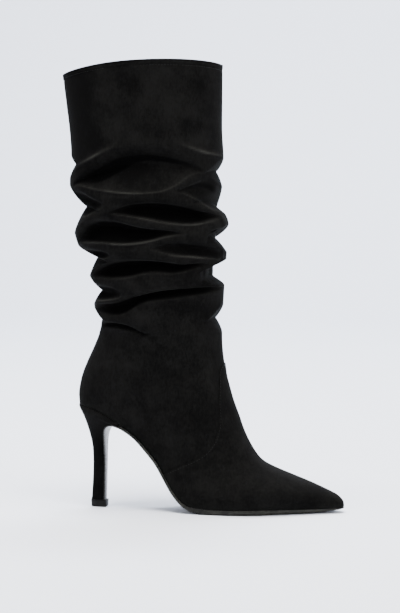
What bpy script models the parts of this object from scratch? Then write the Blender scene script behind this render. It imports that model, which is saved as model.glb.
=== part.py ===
# Right-foot slouch boot with a tall soft shaft, a pointed toe and a slim covered heel.
# Lengths in the tables are millimetres and are turned into metres where a point is placed.
# +X runs towards the toe, -Y is the outer side of the foot, +Z is up.
# The origin is the middle of the heel tip, on the floor.

from collections import namedtuple
from math import asin, cos, pi, radians, sin, sqrt

import bmesh
import bpy
from mathutils import Vector

MM = 0.001
GAP = 0.3                  # clearance between neighbouring pieces
WALL = 1.6                 # suede and lining of the upper
VAMP_THICKNESS = 0.7       # skived leather of the vamp panel
INSOLE_THICKNESS = 1.8
INSOLE_INSET = 3.2         # from the feather edge to the insole's edge
INSOLE_END_X = 200.0       # the insole stops short of the pointed toe
INSOLE_BACK_TURNS = (165, 148, 130)    # degrees round the heel seat where its first stations lie
SOLE_WELT = 1.1            # how far the outsole reaches past the feather edge
SOLE_CHAMFER = 1.0         # small chamfer along the outsole's lower edge
HEEL_PROUD = 0.2           # the heel cover stands this far outside the counter
FLAP_THICKNESS = 1.2       # outsole leather that runs down the heel breast
VAMP_FORM_TOP = 145.0      # the vamp's two forms reach this high before the seam cuts them
VAMP_FORM_BACK = 30.0      # and this far back

AROUND = 32                # columns round the shaft
HALF = AROUND // 2         # column at the middle of the back
EDGE = 12                  # column that runs down to the feather edge
HEEL_COLUMNS = 14          # columns round the heel, breast corner to breast corner

# Heel seat outline at the back of the foot, a round stretch in plan
SEAT_CENTRE_X = 3.3
SEAT_RADIUS = 21.3
SEAT_START = radians(110)

# Closed rings of the shaft, from the collar down to the heel counter.
# front and back are points of the silhouette, lateral and medial are half widths, crown is how far
# the sides rise above the line from front to back, steps is the number of rings down to the next row.
Ring = namedtuple("Ring", "front_x front_z back_x back_z lateral medial crown steps")
SHAFT = [
    Ring(112.3, 397.0, -32.0, 389.4, 49.0, 49.0, 7.0, 2),
    Ring(112.2, 366.0, -28.9, 364.0, 49.0, 49.0, 3.0, 2),
    Ring(112.2, 336.0, -25.6, 336.0, 49.0, 49.0, 0.0, 3),
    Ring(113.3, 318.0, -24.6, 319.0, 49.5, 49.5, 0.0, 3),
    Ring(113.7, 301.5, -25.3, 308.3, 49.8, 49.8, 0.0, 3),
    Ring(114.0, 289.0, -26.0, 294.0, 50.0, 50.0, 0.0, 4),
    Ring(114.6, 268.5, -24.2, 265.8, 50.0, 50.0, 0.0, 2),
    Ring(117.4, 260.0, -22.0, 249.0, 49.5, 49.5, 0.0, 4),
    Ring(117.0, 241.0, -12.3, 222.5, 48.0, 48.0, 0.0, 3),
    Ring(116.2, 230.0, -8.6, 213.5, 46.5, 46.5, 0.0, 4),
    Ring(115.0, 213.9, -6.0, 192.9, 44.5, 44.5, 0.0, 4),
    Ring(113.9, 196.0, -4.0, 183.5, 42.5, 42.5, 0.0, 5),
    Ring(112.6, 169.6, -2.4, 169.4, 38.8, 38.8, 0.0, 3),
    Ring(112.3, 158.0, 0.8, 160.0, 37.5, 37.5, 0.0, 2),
    Ring(112.5, 151.0, -5.0, 144.5, 36.0, 36.0, 0.0, 1),
    Ring(113.0, 144.0, -10.6, 132.6, 35.0, 35.0, 0.0, 1),
    Ring(114.0, 136.0, -15.9, 118.9, 34.0, 34.0, 0.0, 1),
    Ring(114.7, 131.0, -18.5, 106.0, 33.6, 33.6, 0.0, 1),
]

# Open arcs over the foot. Each lies in a plane from a point of the instep ridge to a point of the
# feather line. lateral and medial are the widest half widths, edge_lateral and edge_medial those at
# the feather edge, belly is the height share of the widest place and ridge the ridge's own Y.
Arc = namedtuple(
    "Arc", "front_x front_z back_x back_z lateral medial edge_lateral edge_medial belly ridge")
FOOT = [
    Arc(115.3, 126.5, -4.0, 91.3, 33.5, 33.5, 20.0, 20.0, 0.50, 0.0),
    Arc(116.4, 119.5, 5.0, 88.0, 33.5, 33.5, 23.6, 23.1, 0.50, 0.0),
    Arc(118.0, 113.5, 16.0, 82.6, 33.0, 33.0, 25.0, 24.0, 0.48, 0.0),
    Arc(119.8, 107.0, 27.0, 74.6, 32.5, 32.5, 25.4, 23.3, 0.46, 0.0),
    Arc(122.0, 99.5, 38.0, 66.8, 32.0, 31.5, 25.7, 21.7, 0.44, 0.0),
    Arc(124.9, 91.5, 49.0, 55.2, 31.5, 30.5, 26.0, 19.6, 0.42, 0.0),
    Arc(127.9, 83.5, 58.6, 43.5, 31.5, 29.8, 27.3, 19.3, 0.40, 0.0),
    Arc(130.6, 75.5, 66.4, 30.5, 32.3, 29.5, 28.8, 19.3, 0.38, 0.0),
    Arc(133.9, 67.5, 74.7, 17.5, 34.0, 30.0, 30.4, 20.5, 0.36, 0.0),
    Arc(138.0, 59.3, 84.0, 8.5, 36.5, 31.5, 32.5, 23.0, 0.33, 0.5),
    Arc(143.5, 50.3, 95.0, 6.0, 38.8, 34.5, 34.8, 27.0, 0.30, 1.0),
    Arc(150.6, 43.3, 113.0, 5.1, 40.5, 37.6, 37.2, 32.5, 0.28, 1.5),
    Arc(160.2, 38.3, 129.0, 4.9, 40.3, 39.5, 37.0, 35.4, 0.27, 2.0),
    Arc(171.3, 33.7, 147.0, 5.0, 36.6, 39.0, 33.0, 35.3, 0.27, 2.5),
    Arc(182.3, 29.4, 165.0, 4.9, 29.8, 34.6, 26.3, 31.0, 0.28, 3.0),
    Arc(192.3, 25.6, 181.0, 4.7, 22.8, 28.8, 19.6, 25.3, 0.30, 3.0),
    Arc(201.3, 21.8, 194.5, 4.6, 16.5, 22.4, 13.7, 19.2, 0.32, 3.0),
    Arc(209.2, 18.4, 205.0, 4.5, 11.5, 17.0, 9.3, 14.3, 0.35, 2.8),
    Arc(215.4, 15.3, 213.0, 4.6, 7.5, 12.2, 5.8, 10.2, 0.40, 2.5),
    Arc(219.3, 12.0, 218.3, 4.8, 4.0, 8.2, 2.9, 7.0, 0.45, 2.2),
    Arc(221.0, 9.5, 220.8, 5.2, 0.9, 5.0, 0.4, 4.5, 0.50, 2.1),
    Arc(221.6, 7.9, 221.6, 5.9, -2.0, 2.0, -2.0, 2.0, 0.50, 2.0),
]

# Folds of the slouched shaft. Each is a lens-shaped hollow between two soft rolls.
# angle is its middle (0 front, 90 outer side, 180 back, -90 inner side), half its half width in
# degrees, z the height of its bed, tilt how much higher its far end lies, bow how much its middle is
# raised, over and under how far it opens above and below the bed, and deep how far it sinks.
Fold = namedtuple("Fold", "angle half z tilt bow over under deep")
FOLDS = [
    Fold(97, 54, 304.0, -13, 2.5, 11, 21, 10.5),
    Fold(63, 47, 268.0, 5, 1.5, 7, 11, 8.5),
    Fold(110, 44, 251.0, -5, 2.0, 7, 13, 9.5),
    Fold(46, 33, 235.0, 5, 0.5, 5, 8, 7.0),
    Fold(97, 56, 218.5, -9, 0.0, 6, 10, 8.5),
    Fold(84, 70, 193.0, -18, -1.0, 6, 8, 6.5),
    Fold(122, 35, 165.0, 11, 0.0, 4, 7, 4.0),
    Fold(180, 36, 310.0, 0, 0.0, 11, 12, 5.5),
    Fold(180, 60, 270.0, 0, 1.0, 21, 20, 13.5),
    Fold(180, 56, 226.0, 0, 0.0, 22, 12, 12.0),
    Fold(180, 58, 196.0, 0, 0.0, 18, 12, 10.0),
    Fold(180, 40, 171.5, 0, 0.0, 13, 11, 6.5),
    Fold(0, 34, 303.0, 0, 0.0, 14, 12, 6.5),
    Fold(6, 42, 272.0, 10, 0.0, 20, 6, 11.5),
    Fold(-3, 42, 244.5, 3, 0.0, 13, 10, 14.0),
    Fold(2, 50, 218.0, -4, 0.0, 8, 12, 17.0),
    Fold(-4, 40, 209.5, 0, 0.0, 6, 7, 12.0),
    Fold(0, 36, 172.0, 0, 0.0, 14, 12, 8.0),
    Fold(-98, 50, 298.0, 10, 2.0, 11, 18, 9.5),
    Fold(-60, 42, 266.0, -6, 0.0, 7, 11, 8.5),
    Fold(-113, 42, 249.0, 6, 1.0, 7, 13, 9.0),
    Fold(-52, 36, 234.0, -5, 0.0, 5, 9, 7.5),
    Fold(-100, 52, 218.0, 8, 0.0, 6, 11, 8.5),
    Fold(-82, 62, 191.5, 14, 0.0, 6, 8, 6.5),
    Fold(-120, 36, 167.0, -8, 0.0, 4, 8, 4.5),
]
FOLD_ROUND = 1.3           # power of the hollow's slopes: round rolls, sharper beds
FOLD_MEET = 3.0            # power by which two hollows run into one another
FOLD_OVERHANG = 0.28       # share of the depth by which a bed is drawn up under its roll

# Seam of the vamp seen from the side, from the top of the instep down to the feather edge
SEAM = [
    (160.0, 133.1), (114.9, 133.1), (113.3, 130.6), (112.1, 127.0), (112.3, 115.0), (112.5, 101.0),
    (113.6, 76.0), (110.5, 65.0), (104.6, 56.0), (95.4, 49.1), (84.8, 42.7), (71.6, 36.1),
    (52.0, 31.0), (52.0, -12.0), (250.0, -12.0), (250.0, 80.0),
]
SEAM_REACH = 60.0          # half width of the block that cuts the vamp

# The outsole's underside below the feather line, from the toe to the waist. feather_x is the
# back_x of the foot arc above it, x and z are the lower point itself.
Under = namedtuple("Under", "feather_x x z")
UNDERSIDE = [
    Under(220.8, 221.2, 3.5), Under(218.3, 218.6, 3.0), Under(213.0, 213.2, 2.5),
    Under(205.0, 205.0, 1.7), Under(194.5, 194.5, 1.0), Under(181.0, 181.0, 0.7),
    Under(165.0, 165.0, 0.5), Under(147.0, 149.0, 0.0), Under(129.0, 129.0, 0.0),
    Under(113.0, 113.0, 0.0), Under(95.0, 97.0, 0.0), Under(84.0, 83.0, 5.2),
    Under(74.7, 72.3, 15.9), Under(66.4, 64.1, 29.1), Under(58.6, 56.4, 42.0),
    Under(49.0, 47.0, 53.4), Under(38.0, 36.3, 65.0), Under(27.0, 26.0, 72.2),
]
SOLE_TIP = (222.4, 4.0)    # lower point of the toe tip
SOLE_TIP_RISE = 1.2        # height of the outsole's edge there
SOLE_TIP_SIDES = (-1.0, 3.0)
SOLE_EDGE_SHARE = 0.35     # the chamfer starts this share of the way up the outsole's edge

# Rings of the covered heel, from its top rim down to the tip. breast is the face of the outsole's
# flap that runs over the front of the heel, back the rear of the heel, half its half width.
HeelRing = namedtuple("HeelRing", "breast_x breast_z back_x back_z half")
HEEL = [
    HeelRing(20.8, 74.3, -18.5, 93.0, 25.2),
    HeelRing(16.0, 75.4, -17.9, 91.2, 23.7),
    HeelRing(12.0, 74.7, -16.5, 88.2, 21.3),
    HeelRing(9.2, 72.4, -14.3, 83.6, 17.8),
    HeelRing(7.6, 69.4, -12.2, 78.0, 14.4),
    HeelRing(6.8, 65.5, -10.2, 71.8, 11.4),
    HeelRing(6.5, 60.0, -8.2, 64.6, 9.2),
    HeelRing(6.5, 52.5, -6.4, 55.5, 7.5),
    HeelRing(6.6, 42.0, -5.8, 43.0, 6.3),
    HeelRing(6.4, 30.0, -6.0, 30.0, 5.7),
    HeelRing(6.1, 17.0, -6.7, 17.0, 5.3),
    HeelRing(5.8, 6.8, -7.3, 6.8, 5.1),
]
# Levels of the rubber heel tip, from the floor up
TipLevel = namedtuple("TipLevel", "z back_x front_x half")
TIP = [
    TipLevel(0.0, -6.8, 5.4, 4.8),
    TipLevel(0.8, -7.1, 5.7, 5.0),
    TipLevel(6.5, -7.3, 5.8, 5.1),
]
HEEL_FRONT_X = 22.6        # front edge of the heel's top rim
HEEL_ROUND = 0.8           # share of the heel's length over which its back is rounded

COLOURS = {
    "upper": ((0.013, 0.012, 0.012, 1.0), 0.95, 0.0),
    "vamp": ((0.012, 0.011, 0.011, 1.0), 0.95, 0.0),
    "outsole": ((0.100, 0.095, 0.092, 1.0), 0.38, 0.0),
    "heel": ((0.012, 0.011, 0.011, 1.0), 0.93, 0.0),
    "top_piece": ((0.055, 0.050, 0.047, 1.0), 0.50, 0.0),
    "insole": ((0.045, 0.040, 0.037, 1.0), 0.70, 0.0),
}


def clear_scene():
    for thing in list(bpy.data.objects):
        bpy.data.objects.remove(thing, do_unlink=True)


def blend(first, second, share):
    return first + (second - first) * share


def finish(name, bm):
    """Turn a closed bmesh into a named object with its own material."""
    bmesh.ops.recalc_face_normals(bm, faces=bm.faces[:])
    mesh = bpy.data.meshes.new(name)
    bm.to_mesh(mesh)
    bm.free()
    mesh.shade_smooth()
    mesh.set_sharp_from_angle(angle=radians(38))
    thing = bpy.data.objects.new(name, mesh)
    bpy.context.scene.collection.objects.link(thing)
    colour, roughness, metallic = COLOURS[name]
    material = bpy.data.materials.new(name)
    material.use_nodes = True
    shader = material.node_tree.nodes["Principled BSDF"]
    shader.inputs["Base Color"].default_value = colour
    shader.inputs["Roughness"].default_value = roughness
    shader.inputs["Metallic"].default_value = metallic
    mesh.materials.append(material)
    return thing


def grid(rows, columns, place):
    """A flat grid whose points are laid where place(row, column) says, in millimetres."""
    bm = bmesh.new()
    bmesh.ops.create_grid(bm, x_segments=columns, y_segments=rows, size=1.0)
    for vert in bm.verts:
        row = round((vert.co.y + 1.0) / 2.0 * rows)
        column = round((vert.co.x + 1.0) / 2.0 * columns)
        spot = place(row, column)
        if spot is None:
            vert.tag = True
        else:
            vert.co = spot * MM
    bmesh.ops.delete(bm, geom=[vert for vert in bm.verts if vert.tag], context="VERTS")
    bmesh.ops.remove_doubles(bm, verts=bm.verts[:], dist=0.00001)
    bmesh.ops.recalc_face_normals(bm, faces=bm.faces[:])
    return bm


def shaft_rings():
    """Every ring of the shaft, worked out between the rows of its table."""
    rings = []
    for upper, lower in zip(SHAFT, SHAFT[1:]):
        for step in range(upper.steps):
            share = step / upper.steps
            rings.append(Ring(*(blend(a, b, share) for a, b in zip(upper, lower))))
    rings.append(SHAFT[-1])
    return rings


RINGS = shaft_rings()
CORNER_ROW = len(RINGS)                      # the arc that carries the heel seat's corner
LAST_ROW = CORNER_ROW + len(FOOT) - 1
FEATHER = [(arc.back_x, arc.back_z) for arc in FOOT]
FEATHER.insert(0, (SEAT_CENTRE_X - SEAT_RADIUS, 94.4))


def feather_height(x):
    """Height of the feather line, straight between the arcs, so that facing pieces match."""
    for (x0, z0), (x1, z1) in zip(FEATHER, FEATHER[1:]):
        if x <= x1:
            return blend(z0, z1, (x - x0) / (x1 - x0))
    return FEATHER[-1][1]


def feather_normal(index):
    """Upward normal of the feather line at one of its points, in the XZ plane."""
    before = FEATHER[max(index - 1, 0)]
    after = FEATHER[min(index + 1, len(FEATHER) - 1)]
    along = Vector((after[0] - before[0], 0.0, after[1] - before[1])).normalized()
    return Vector((-along.z, 0.0, along.x))


def rim_normal(spot):
    """Normal of the plane in which an edge of the upper lies: the collar's or the feather's."""
    if spot.z > SHAFT[1].front_z:
        return Vector((0.0, 0.0, 1.0))
    nearest = min(range(len(FEATHER)), key=lambda index: abs(FEATHER[index][0] - spot.x))
    return feather_normal(nearest)


def hollow(angle, z):
    """How far the folds draw the shaft in at this place, and how far they draw it up."""
    total = 0.0
    for fold in FOLDS:
        turn = (angle - fold.angle + 180.0) % 360.0 - 180.0
        across = turn / fold.half
        if abs(across) >= 1.0:
            continue
        lens = cos(across * pi / 2.0)
        bed = fold.z + fold.tilt * across / 2.0 + fold.bow * lens - FOLD_OVERHANG * fold.deep
        above = z - bed
        reach = 1.0 - abs(above) / (lens * (fold.over if above > 0.0 else fold.under))
        if reach <= 0.0:
            continue
        total += (fold.deep * sqrt(lens) * reach ** FOLD_ROUND) ** FOLD_MEET
    return total ** (1.0 / FOLD_MEET)


def ring_point(ring, column):
    """A point of a closed shaft ring; column 0 is the front, negative columns the inner side."""
    turn = pi * column / HALF
    share = (1.0 + cos(turn)) / 2.0
    long_radius = (ring.front_x - ring.back_x) / 2.0
    half_width = ring.lateral if column > 0 else ring.medial
    z = blend(ring.back_z, ring.front_z, share) + ring.crown * sin(turn) ** 2
    x = blend(ring.back_x, ring.front_x, share)
    y = -half_width * sin(turn)
    deep = hollow(180.0 * column / HALF, z)
    out = Vector((cos(turn) / long_radius, -sin(turn) / half_width, 0.0)).normalized()
    return Vector((x, y, z + deep * FOLD_OVERHANG)) - out * deep


def arc_point(arc, column):
    """A point of an open foot arc, from the ridge down to the feather edge."""
    side = 1.0 if column < 0 else -1.0
    wide = arc.lateral if side < 0 else arc.medial
    edge = arc.edge_lateral if side < 0 else arc.edge_medial
    reach = wide - side * arc.ridge
    ratio = (edge - side * arc.ridge) / reach if reach > 0.0 else 0.0
    turn = (pi - asin(ratio)) * abs(column) / EDGE
    height = arc.belly + cos(turn) * (1.0 - arc.belly)
    if turn > pi / 2.0:
        height = arc.belly + cos(turn) * arc.belly / sqrt(1.0 - ratio * ratio)
    x = blend(arc.back_x, arc.front_x, height)
    z = blend(arc.back_z, arc.front_z, height)
    return Vector((x, arc.ridge + side * reach * sin(turn), z))


def seat_point(column):
    """A point of the feather edge round the back of the heel seat."""
    share = (abs(column) - EDGE) / (HALF - EDGE)
    turn = blend(SEAT_START, pi, share)
    x = SEAT_CENTRE_X + SEAT_RADIUS * cos(turn)
    side = 1.0 if column < 0 else -1.0
    return Vector((x, side * SEAT_RADIUS * sin(turn), feather_height(x)))


def form_point(row, column):
    """The upper's outside: closed rings, then arcs that end on the feather edge."""
    column -= HALF
    if row < CORNER_ROW:
        return ring_point(RINGS[row], column)
    if abs(column) <= EDGE:
        return arc_point(FOOT[row - CORNER_ROW], column)
    if row == CORNER_ROW:
        return seat_point(column)
    return None


def form():
    """The outside of the upper as an open skin, and the direction that points out of it."""
    bm = grid(LAST_ROW, AROUND, form_point)
    number = bm.verts.layers.int.new("number")
    bm.normal_update()
    outward = []
    for vert in bm.verts:
        vert[number] = len(outward)
        direction = vert.normal.copy()
        if any(edge.is_boundary for edge in vert.link_edges):
            up = rim_normal(vert.co / MM)
            direction -= up * direction.dot(up)
        outward.append(direction.normalized())
    middle = sum((vert.co for vert in bm.verts), Vector()) / len(bm.verts)
    top = max(bm.verts, key=lambda vert: vert.co.z)
    if outward[top[number]].dot(top.co - middle) < 0.0:
        outward = [-direction for direction in outward]
    return bm, number, outward


def shell(bm, number, outward, low, high):
    """Close a skin between two forms that lie low and high outside it."""
    bmesh.ops.extrude_face_region(bm, geom=bm.faces[:], use_keep_orig=True)
    seen = set()
    for vert in bm.verts:
        key = vert[number]
        lift = high if key in seen else low
        seen.add(key)
        vert.co += outward[key] * lift * MM
    return bm


def make_upper():
    bm, number, outward = form()
    return finish("upper", shell(bm, number, outward, 0.0, -WALL))


def make_vamp():
    """The vamp panel: a skin between two larger forms, cut along its seam."""
    bm, number, outward = form()
    outside = []
    for vert in bm.verts:
        if vert.co.z > VAMP_FORM_TOP * MM or vert.co.x < VAMP_FORM_BACK * MM:
            outside.append(vert)
    bmesh.ops.delete(bm, geom=outside, context="VERTS")
    shell(bm, number, outward, GAP, GAP + VAMP_THICKNESS)
    vamp = finish("vamp", bm)
    cut = vamp.modifiers.new("seam", "BOOLEAN")
    cut.operation = "INTERSECT"
    cut.object = seam_cutter()
    return vamp


def seam_cutter():
    """A block with the vamp's outline in side view, wider than the foot."""
    bm = bmesh.new()
    outline = [bm.verts.new(Vector((x, -SEAM_REACH, z)) * MM) for x, z in SEAM]
    face = bm.faces.new(outline)
    grown = bmesh.ops.extrude_face_region(bm, geom=[face])
    moved = [item for item in grown["geom"] if isinstance(item, bmesh.types.BMVert)]
    bmesh.ops.translate(bm, verts=moved, vec=(0.0, 2.0 * SEAM_REACH * MM, 0.0))
    bmesh.ops.recalc_face_normals(bm, faces=bm.faces[:])
    mesh = bpy.data.meshes.new("vamp_seam_cutter")
    bm.to_mesh(mesh)
    bm.free()
    cutter = bpy.data.objects.new("vamp_seam_cutter", mesh)
    bpy.context.scene.collection.objects.link(cutter)
    cutter.hide_render = True
    cutter.display_type = "WIRE"
    return cutter


def breast_path():
    """Points and inward normals of the flap's outer face, from the waist down to the heel tip."""
    waist = UNDERSIDE[-1]
    points = [Vector((ring.breast_x, 0.0, ring.breast_z)) for ring in HEEL]
    run = [Vector((waist.x, 0.0, waist.z))] + points + [points[-1]]
    normals = []
    for before, after in zip(run, run[2:]):
        along = (after - before).normalized()
        normals.append(Vector((along.z, 0.0, -along.x)))
    return points, normals


def sole_stations():
    """Pairs of upper and lower points with half widths, from the toe tip to the heel tip."""
    low = Vector((SOLE_TIP[0], 0.0, SOLE_TIP[1]))
    stations = [(low + Vector((0.0, 0.0, SOLE_TIP_RISE)), low, *SOLE_TIP_SIDES)]
    for under in UNDERSIDE:
        index = FEATHER.index(next(spot for spot in FEATHER if spot[0] == under.feather_x))
        arc = FOOT[index - 1]
        top = Vector((arc.back_x, 0.0, arc.back_z)) - feather_normal(index) * GAP
        low = Vector((under.x, 0.0, under.z))
        stations.append((top, low, arc.edge_lateral + SOLE_WELT, arc.edge_medial + SOLE_WELT))
    for ring, point, normal in zip(HEEL, *breast_path()):
        stations.append((point + normal * FLAP_THICKNESS, point, ring.half, ring.half))
    return stations


def make_outsole():
    stations = sole_stations()

    def place(row, column):
        top, low, lateral, medial = stations[row]
        corner = column % 6
        side_low = blend(low, top, SOLE_EDGE_SHARE)
        if corner == 0:
            return top + Vector((0.0, -lateral, 0.0))
        if corner == 1:
            return top + Vector((0.0, medial, 0.0))
        if corner == 2:
            return side_low + Vector((0.0, medial, 0.0))
        if corner == 3:
            return low + Vector((0.0, medial - SOLE_CHAMFER, 0.0))
        if corner == 4:
            return low + Vector((0.0, SOLE_CHAMFER - lateral, 0.0))
        return side_low + Vector((0.0, -lateral, 0.0))

    bm = grid(len(stations) - 1, 6, place)
    ends = [edge for edge in bm.edges if edge.is_boundary]
    bmesh.ops.holes_fill(bm, edges=ends, sides=6)
    return finish("outsole", bm)


def heel_outline(column, half):
    """Share of a heel ring's length from its back, and the Y there: a D with its flat in front."""
    column %= HEEL_COLUMNS + 1
    middle = HEEL_COLUMNS // 2
    away = column - middle
    share = 1.0
    if abs(away) < middle:
        share = HEEL_ROUND * (1.0 - cos(pi / 2.0 * away / (middle - 1)))
    near = 1.0 - min(share / HEEL_ROUND, 1.0)
    side = (away > 0) - (away < 0)
    return share, side * half * sqrt(1.0 - near * near)


def make_heel():
    fronts = [point + normal * (FLAP_THICKNESS + GAP) for point, normal in zip(*breast_path())]

    def place(row, column):
        if row == 0:
            share, y = heel_outline(column, HEEL[0].half + HEEL_PROUD)
            x = blend(FEATHER[0][0] - HEEL_PROUD, HEEL_FRONT_X, share)
            return Vector((x, y, feather_height(max(x, FEATHER[0][0])) - GAP))
        ring = HEEL[row - 1]
        front = fronts[row - 1]
        share, y = heel_outline(column, ring.half)
        return Vector((blend(ring.back_x, front.x, share), y, blend(ring.back_z, front.z, share)))

    bm = grid(len(HEEL), HEEL_COLUMNS + 1, place)
    cap_ends(bm)
    return finish("heel", bm)


def cap_ends(bm):
    """Close the open ends of a heel piece with strips that run from side to side."""
    ends = [edge for edge in bm.edges if edge.is_boundary]
    for face in bmesh.ops.holes_fill(bm, edges=ends, sides=0)["faces"]:
        pairs = {}
        for vert in face.verts:
            pairs.setdefault(round(vert.co.x / MM, 2), []).append(vert)
        for pair in pairs.values():
            if len(pair) == 2:
                bmesh.ops.connect_verts(bm, verts=pair)


def make_top_piece():
    """Rubber tip under the heel, with its underside on the floor."""

    def place(row, column):
        level = TIP[row]
        share, y = heel_outline(column, level.half)
        return Vector((blend(level.back_x, level.front_x, share), y, level.z))

    bm = grid(len(TIP) - 1, HEEL_COLUMNS + 1, place)
    cap_ends(bm)
    return finish("top_piece", bm)


def make_insole():
    """Thin board and sock inside the foot, lying on the heel seat and the outsole."""
    stations = []
    radius = SEAT_RADIUS - INSOLE_INSET
    for degrees in INSOLE_BACK_TURNS:
        x = SEAT_CENTRE_X + radius * cos(radians(degrees))
        half = radius * sin(radians(degrees))
        stations.append((Vector((x, 0.0, feather_height(x))), feather_normal(0), half, half))
    for index, arc in enumerate(FOOT):
        if arc.back_x > INSOLE_END_X:
            break
        spot = Vector((arc.back_x, 0.0, arc.back_z))
        lateral = arc.edge_lateral - INSOLE_INSET
        medial = arc.edge_medial - INSOLE_INSET
        stations.append((spot, feather_normal(index + 1), lateral, medial))

    def place(row, column):
        spot, up, lateral, medial = stations[row]
        corner = column % 4
        high = spot + up * INSOLE_THICKNESS
        if corner == 0:
            return spot + Vector((0.0, -lateral, 0.0))
        if corner == 1:
            return spot + Vector((0.0, medial, 0.0))
        if corner == 2:
            return high + Vector((0.0, medial, 0.0))
        return high + Vector((0.0, -lateral, 0.0))

    bm = grid(len(stations) - 1, 4, place)
    ends = [edge for edge in bm.edges if edge.is_boundary]
    bmesh.ops.holes_fill(bm, edges=ends, sides=4)
    return finish("insole", bm)


clear_scene()
make_upper()
make_vamp()
make_outsole()
make_heel()
make_top_piece()
make_insole()
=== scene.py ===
from functools import cache
from math import asin, cos, exp, pi, radians, sin, sqrt

import bmesh
import bpy
from mathutils import Matrix, Vector


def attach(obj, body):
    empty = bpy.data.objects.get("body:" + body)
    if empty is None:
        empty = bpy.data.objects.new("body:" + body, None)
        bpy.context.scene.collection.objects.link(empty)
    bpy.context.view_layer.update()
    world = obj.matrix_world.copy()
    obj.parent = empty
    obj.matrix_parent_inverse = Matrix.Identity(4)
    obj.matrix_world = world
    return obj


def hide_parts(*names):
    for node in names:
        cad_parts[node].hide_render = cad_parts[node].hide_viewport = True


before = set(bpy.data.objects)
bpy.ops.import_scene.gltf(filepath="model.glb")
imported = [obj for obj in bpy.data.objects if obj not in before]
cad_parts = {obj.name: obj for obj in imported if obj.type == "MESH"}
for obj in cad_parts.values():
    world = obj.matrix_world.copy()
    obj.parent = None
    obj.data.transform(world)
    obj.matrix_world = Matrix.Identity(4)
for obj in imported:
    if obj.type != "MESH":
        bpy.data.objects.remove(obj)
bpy.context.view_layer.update()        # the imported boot, fixed from here on
print("frame loaded")

mm = 0.001               # the tables are in millimetres
weld = 0.000005          # points of a grid nearer than this, in metres, become one


def mix(first, second, share):
    return first + (second - first) * share


def slope(before, here, after, stepBack, stepOn):
    # slope of a smooth curve through three unevenly spaced places
    back = (here - before) / stepBack
    on = (after - here) / stepOn
    return (back * stepOn + on * stepBack) / (stepBack + stepOn)


def hermite(start, startSlope, end, endSlope, step, share):
    square = share * share
    cube = square * share
    return (start * (2 * cube - 3 * square + 1) + startSlope * (step * (cube - 2 * square + share))
            + end * (3 * square - 2 * cube) + endSlope * (step * (cube - square)))


def smoothThrough(points, at):
    # value of a smooth curve through (place, value) pairs, held level past both ends
    if at <= points[0][0]:
        return points[0][1]
    if at >= points[-1][0]:
        return points[-1][1]
    index = 0
    while points[index + 1][0] < at:
        index += 1
    (x0, y0), (x1, y1) = points[index], points[index + 1]
    step = x1 - x0
    plain = (y1 - y0) / step
    startSlope = plain
    endSlope = plain
    if index > 0:
        startSlope = slope(points[index - 1][1], y0, y1, x0 - points[index - 1][0], step)
    if index + 2 < len(points):
        endSlope = slope(y0, y1, points[index + 2][1], step, points[index + 2][0] - x1)
    return hermite(y0, startSlope, y1, endSlope, step, (at - x0) / step)


def layGrid(rows, columns, place, marks=(), paint=None):
    # a grid primitive whose points are moved to where place(row, column) says, and which carry the
    # values of paint(row, column) as attributes named in marks
    bm = bmesh.new()
    layers = [bm.verts.layers.float.new(mark) for mark in marks]
    bmesh.ops.create_grid(bm, x_segments=columns, y_segments=rows, size=1.0)
    unused = []
    for vert in bm.verts:
        row = round((vert.co.y + 1.0) / 2.0 * rows)
        column = round((vert.co.x + 1.0) / 2.0 * columns)
        spot = place(row, column)
        if spot is None:
            unused.append(vert)
        else:
            vert.co = spot * mm
            for layer, value in zip(layers, paint(row, column) if layers else ()):
                vert[layer] = value
    bmesh.ops.delete(bm, geom=unused, context="VERTS")
    bmesh.ops.remove_doubles(bm, verts=bm.verts[:], dist=weld)
    bmesh.ops.recalc_face_normals(bm, faces=bm.faces[:])
    return bm


def closeEnds(bm, sides=0):
    # fills the open ends of a tube that have up to this many edges, or any number with 0
    rims = [edge for edge in bm.edges if edge.is_boundary]
    bmesh.ops.holes_fill(bm, edges=rims, sides=sides)
    bmesh.ops.recalc_face_normals(bm, faces=bm.faces[:])


def makeObject(name, bm, materials):
    mesh = bpy.data.meshes.new(name)
    bm.to_mesh(mesh)
    bm.free()
    mesh.shade_smooth()
    for material in materials:
        mesh.materials.append(material)
    made = bpy.data.objects.new(name, mesh)
    bpy.context.scene.collection.objects.link(made)
    return made


def makePiece(name, bm, slot, *materials):
    piece = makeObject(name, bm, materials)
    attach(piece, "root")
    return piece


def addWall(piece, thickness, offset, **settings):
    wall = piece.modifiers.new("wall", "SOLIDIFY")
    wall.thickness = thickness * mm
    wall.offset = offset
    wall.use_even_offset = False
    for key, value in settings.items():
        setattr(wall, key, value)


def softenEdges(piece, width, segments, angle):
    # rounds the edges sharper than the angle, in degrees, by the width in millimetres
    bevel = piece.modifiers.new("edge", "BEVEL")
    bevel.width = width * mm
    bevel.segments = segments
    bevel.limit_method = "ANGLE"
    bevel.angle_limit = radians(angle)
    bevel.harden_normals = False


# Shader maths: a wire is a socket that can be added, subtracted and multiplied
class Wire:
    def __init__(self, graph, socket):
        self.graph = graph
        self.socket = socket

    def maths(self, operation, first, second):
        return self.graph.node("ShaderNodeMath", {"operation": operation}, {0: first, 1: second})

    def __add__(self, other):
        return self.maths("ADD", self, other)

    def __radd__(self, other):
        return self.maths("ADD", other, self)

    def __sub__(self, other):
        return self.maths("SUBTRACT", self, other)

    def __mul__(self, other):
        return self.maths("MULTIPLY", self, other)


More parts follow.
